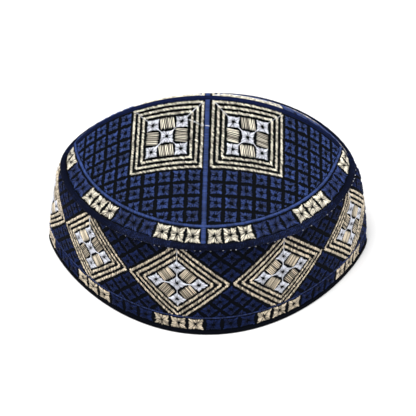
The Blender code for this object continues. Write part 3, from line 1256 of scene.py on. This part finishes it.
class KUFI_OT_crown_border(bpy.types.Operator):
    """Embroiders the ring, the middle strips and the border squares of the crown"""

    bl_idname = "kufi.crown_border"
    bl_label = "Crown border"

    def execute(self, context):
        thread = context.scene.kufi_thread
        border = border_cloth()
        ring = satin_cord(border.length, BORDER_WIDTH, RING_WIDTH, RING_PITCH, RING_LIFT, RING_SLANT)
        cords = [(border, ring)]
        for side in (-1.0, 1.0):
            depth = crown_depth(np.array([0.0]), side)[0]
            section = np.linspace(0.0, depth, 300)
            height = crown_height(np.zeros(300), section, side)
            length = arc_lengths(np.stack([section, height], -1))[-1]
            end = length - EDGE_RADIUS
            cords.append((
                crown_cloth(side), strip(RIDGE_HALF_BAND, end, STRIP_WIDTH, STRIP_PITCH, STRIP_LIFT)))
        stitch_mesh("crown_cords", cords, "cord_blue", seed=31, ragged=0.08 * MM)
        light, blue = self.squares(border, thread)
        for name, rows, finish, seed, ragged in (
            ("crown_border_light", light, "beige", 32, 0.3 * MM),
            ("crown_border_blue", blue, "border_blue", 33, 0.27 * MM),
        ):
            stitch_mesh(name, [(border, rows)], finish, seed, ragged)
        return {"FINISHED"}

    def squares(self, border, thread):
        """Squares counted from the strips to the folds, light and blue by threes."""
        low = EDGE_RADIUS + BORDER_FROM_EDGE
        high = BORDER_WIDTH - RING_WIDTH / 2.0 - BORDER_FROM_RING
        angle = np.linspace(0.0, 2.0 * math.pi, LOOP_POINTS)
        along = arc_lengths(seam_outline(angle))
        centres = {
            -1.0: np.interp(0.5 * math.pi, angle, along) + BORDER_SHIFT,
            1.0: np.interp(1.5 * math.pi, angle, along)}
        # The folds: where the joint crosses the ridge's line, at the right and at the left
        points = seam_outline(angle)
        right = along[np.argmin(np.abs(points[:, 1]) + (points[:, 0] < 0.0) + (angle < math.pi))]
        left = along[np.argmin(np.abs(points[:, 1]) + (points[:, 0] > 0.0))]
        light, blue = [], []
        for side, count in ((-1.0, FRONT_BORDER_SQUARES), (1.0, BACK_BORDER_SQUARES)):
            for hand in (-1.0, 1.0):
                fold = left if hand * side > 0.0 else right
                span = fold - centres[side]
                if abs(span) > border.length / 2.0:
                    span -= math.copysign(border.length, span)
                start = STRIP_WIDTH / 2.0 + BORDER_GAP
                pitch = (abs(span) - start) / count
                half = (pitch * 0.46, (high - low) / 2.0)
                square = eyelet(
                    *half, hole=BORDER_HOLE, per_side=thread.eyelet_threads + 1, bow=0.1, lift=thread.lift)
                for k in range(round(count)):
                    middle = math.copysign(start + (k + 0.5) * pitch, span)
                    target = light if (k // BORDER_GROUP) % 2 == 0 else blue
                    target.append(moved(square, (centres[side] + middle, (low + high) / 2.0)))
        return np.concatenate(light), np.concatenate(blue)


def inside_side(u, v):
    """Between the line near the rim and the rolled edge."""
    return (v > SIDE_LINE_HEIGHT + SIDE_LINE_WIDTH / 2.0 + 0.1 * MM) & (v < SIDE_TOP)


class KUFI_OT_side_diamonds(bpy.types.Operator):
    """Embroiders the nine framed diamonds round the side"""

    bl_idname = "kufi.side_diamonds"
    bl_label = "Side diamonds"

    def execute(self, context):
        cloth = side_cloth()
        beige, white = motif(DIAMOND_CELL, context.scene.kufi_thread, ((1, 1),))
        period = cloth.length / DIAMONDS
        beige_rows, white_rows = [], []
        for k in range(DIAMONDS):
            centre = ((k + 0.5) * period + DIAMOND_SHIFT, DIAMOND_CENTRE)
            beige_rows.append(moved(beige, centre, math.pi / 4.0, DIAMOND_STRETCH))
            white_rows.append(moved(white, centre, math.pi / 4.0, DIAMOND_STRETCH))
        for name, rows, finish, seed in (
            ("side_diamond_frames", beige_rows, "side_beige", 41),
            ("side_diamond_eyelets", white_rows, "white", 42),
        ):
            batches = [(cloth, clipped(np.concatenate(rows), inside_side))]
            stitch_mesh(name, batches, finish, seed)
        return {"FINISHED"}


class KUFI_OT_side_lattice(bpy.types.Operator):
    """Embroiders the deep blue diamonds between the framed ones"""

    bl_idname = "kufi.side_lattice"
    bl_label = "Side lattice"

    def execute(self, context):
        thread = context.scene.kufi_thread
        cloth = side_cloth()
        period = cloth.length / DIAMONDS
        diagonal = LATTICE_CELL * math.sqrt(2.0)
        square = eyelet(
            LATTICE_CELL * 0.40, LATTICE_CELL * 0.40, hole=LATTICE_CELL * 0.18,
            per_side=thread.eyelet_threads, bow=0.06, lift=thread.lift * 0.8)
        square = moved(square, (0.0, 0.0), math.pi / 4.0)
        rows = []
        for k in range(DIAMONDS):
            for up in (-1.0, 1.0):
                for row in range(1, LATTICE_ROWS + 1):
                    for place in range(row):
                        across = (place - (row - 1) / 2.0) * diagonal
                        centre = (
                            k * period + DIAMOND_SHIFT + across,
                            DIAMOND_CENTRE + up * row * diagonal / 2.0)
                        rows.append(moved(square, centre))
        rows = clipped(np.concatenate(rows), inside_side)
        stitch_mesh("side_lattice_squares", [(cloth, rows)], "side_blue", seed=51)
        return {"FINISHED"}


class KUFI_OT_side_rows(bpy.types.Operator):
    """Embroiders the line and the row of squares above the rim"""

    bl_idname = "kufi.side_rows"
    bl_label = "Side rows"

    def execute(self, context):
        thread = context.scene.kufi_thread
        cloth = side_cloth()
        line = satin_cord(
            cloth.length, SIDE_LINE_HEIGHT, SIDE_LINE_WIDTH,
            pitch=SIDE_LINE_PITCH, lift=SIDE_LINE_LIFT, slant=SIDE_LINE_SLANT)
        batches = [(cloth, line)]
        stitch_mesh("side_line", batches, "border_blue", seed=61, ragged=0.08 * MM)
        pitch = cloth.length / RIM_SQUARES
        middle = (RIM_SQUARE_LOW + RIM_SQUARE_HIGH) / 2.0
        half = (pitch * 0.43, (RIM_SQUARE_HIGH - RIM_SQUARE_LOW) / 2.0)
        square = eyelet(
            *half, hole=RIM_SQUARE_HOLE, per_side=thread.eyelet_threads + 1, bow=0.1, lift=thread.lift)
        light, blue = [], []
        for k in range(RIM_SQUARES):
            target = blue if (k + 1) % (2 * BORDER_GROUP) < BORDER_GROUP else light
            target.append(moved(square, (k * pitch + RIM_SQUARE_SHIFT, middle)))
        for name, rows, finish, seed, ragged in (
            ("rim_light_squares", light, "side_beige", 62, 0.3 * MM),
            ("rim_blue_squares", blue, "side_blue", 63, 0.2 * MM),
        ):
            stitch_mesh(name, [(cloth, np.concatenate(rows))], finish, seed, ragged)
        return {"FINISHED"}


class KUFI_OT_seam_stitches(bpy.types.Operator):
    """Sews the row of small white machine stitches below the rolled edge"""

    bl_idname = "kufi.seam_stitches"
    bl_label = "Seam stitches"

    def execute(self, context):
        cloth = side_cloth()
        rng = np.random.default_rng(71)
        count = int(cloth.length / SEAM_PITCH)
        u = np.arange(count) * SEAM_PITCH + rng.uniform(-SEAM_SCATTER, SEAM_SCATTER, count)
        v = SIDE_TOP - SEAM_BELOW_TOP + rng.normal(0.0, 0.15 * MM, count)
        start, end = np.stack([u, v], -1), np.stack([u + SEAM_STITCH, v], -1)
        rows = thread_rows(start, end, SEAM_THREAD, SEAM_THREAD, SEAM_LIFT)
        stitch_mesh("seam_stitches", [(cloth, rows)], "white", seed=72, ragged=0.08 * MM)
        return {"FINISHED"}


def area_light(name, place, size, power):
    """A soft round light that faces the cap."""
    lamp = bpy.data.lights.new(name, "AREA")
    lamp.shape = "DISK"
    lamp.size = size
    lamp.energy = power
    light = bpy.data.objects.new(name, lamp)
    light.location = place
    light.rotation_euler = (Vector(CAP_MIDDLE) - Vector(place)).to_track_quat("-Z", "Y").to_euler()
    bpy.context.scene.collection.objects.link(light)


class KUFI_OT_stage(bpy.types.Operator):
    """Sets up the camera, the plain floor and soft studio light"""

    bl_idname = "kufi.stage"
    bl_label = "Stage"

    def execute(self, context):
        stage = context.scene.kufi_stage
        aim = Vector((0.0, 0.0, stage.aim_height))
        level = stage.distance * math.cos(stage.elevation)
        offset = Vector((
            level * math.sin(stage.turn),
            -level * math.cos(stage.turn),
            stage.distance * math.sin(stage.elevation)))
        data = bpy.data.cameras.new("view_camera")
        data.lens = stage.lens
        data.sensor_width = 36.0
        data.shift_x, data.shift_y = stage.shift
        camera = bpy.data.objects.new("view_camera", data)
        camera.location = aim + offset
        camera.rotation_euler = (-offset).to_track_quat("-Z", "Y").to_euler()
        context.scene.collection.objects.link(camera)
        context.scene.camera = camera

        mesh = bpy.data.meshes.new("floor")
        corners = [(x * FLOOR_REACH, y * FLOOR_REACH, 0.0) for x, y in ((-1, -1), (1, -1), (1, 1), (-1, 1))]
        mesh.from_pydata(corners, [], [(0, 1, 2, 3)])
        floor = bpy.data.objects.new("floor", mesh)
        context.scene.collection.objects.link(floor)
        material = bpy.data.materials.new("matt_white_paper_sweep")
        material.use_nodes = True
        shader = material.node_tree.nodes["Principled BSDF"]
        shader.inputs["Base Color"].default_value = (*stage.floor, 1.0)
        shader.inputs["Roughness"].default_value = 0.95
        mesh.materials.append(material)

        world = bpy.data.worlds.new("even_light")
        world.use_nodes = True
        background = world.node_tree.nodes["Background"]
        background.inputs["Color"].default_value = (1.0, 1.0, 1.0, 1.0)
        background.inputs["Strength"].default_value = stage.sky
        context.scene.world = world
        context.scene.view_settings.view_transform = "Standard"
        area_light("key_light", place=(-0.22, -0.42, 1.2), size=0.6, power=stage.key_power)
        area_light("fill_light", place=(0.9, -0.5, 0.8), size=0.8, power=stage.fill_power)
        return {"FINISHED"}


class KUFI_PT_panel(bpy.types.Panel):
    """Lists the steps of the cap in the sidebar"""

    bl_label = "Kufi"
    bl_idname = "KUFI_PT_panel"
    bl_space_type = "VIEW_3D"
    bl_region_type = "UI"
    bl_category = "Kufi"

    def draw(self, context):
        scene = context.scene
        for group in (scene.kufi_thread, scene.kufi_colours, scene.kufi_stage):
            box = self.layout.box()
            for key in group.bl_rna.properties.keys():
                if key not in {"rna_type", "name"}:
                    box.prop(group, key)
        for operator in OPERATORS:
            self.layout.operator(operator.bl_idname)


OPERATORS = (
    KUFI_OT_stage,
    KUFI_OT_crown_cloth,
    KUFI_OT_side_cloth,
    KUFI_OT_edges,
    KUFI_OT_crown_motifs,
    KUFI_OT_crown_field,
    KUFI_OT_crown_border,
    KUFI_OT_side_diamonds,
    KUFI_OT_side_lattice,
    KUFI_OT_side_rows,
    KUFI_OT_seam_stitches,
)
GROUPS = {
    "kufi_thread": KufiThread,
    "kufi_colours": KufiColours,
    "kufi_stage": KufiStage,
}


def register():
    for group in GROUPS.values():
        bpy.utils.register_class(group)
    for name, group in GROUPS.items():
        setattr(bpy.types.Scene, name, PointerProperty(type=group))
    for operator in OPERATORS:
        bpy.utils.register_class(operator)
    bpy.utils.register_class(KUFI_PT_panel)


def unregister():
    bpy.utils.unregister_class(KUFI_PT_panel)
    for operator in reversed(OPERATORS):
        bpy.utils.unregister_class(operator)
    for name in GROUPS:
        delattr(bpy.types.Scene, name)
    for group in reversed(tuple(GROUPS.values())):
        bpy.utils.unregister_class(group)


def main():
    register()
    for operator in OPERATORS:
        group, call = operator.bl_idname.split(".")
        getattr(getattr(bpy.ops, group), call)()
    bpy.context.view_layer.update()


if __name__ == "__main__":
    main()
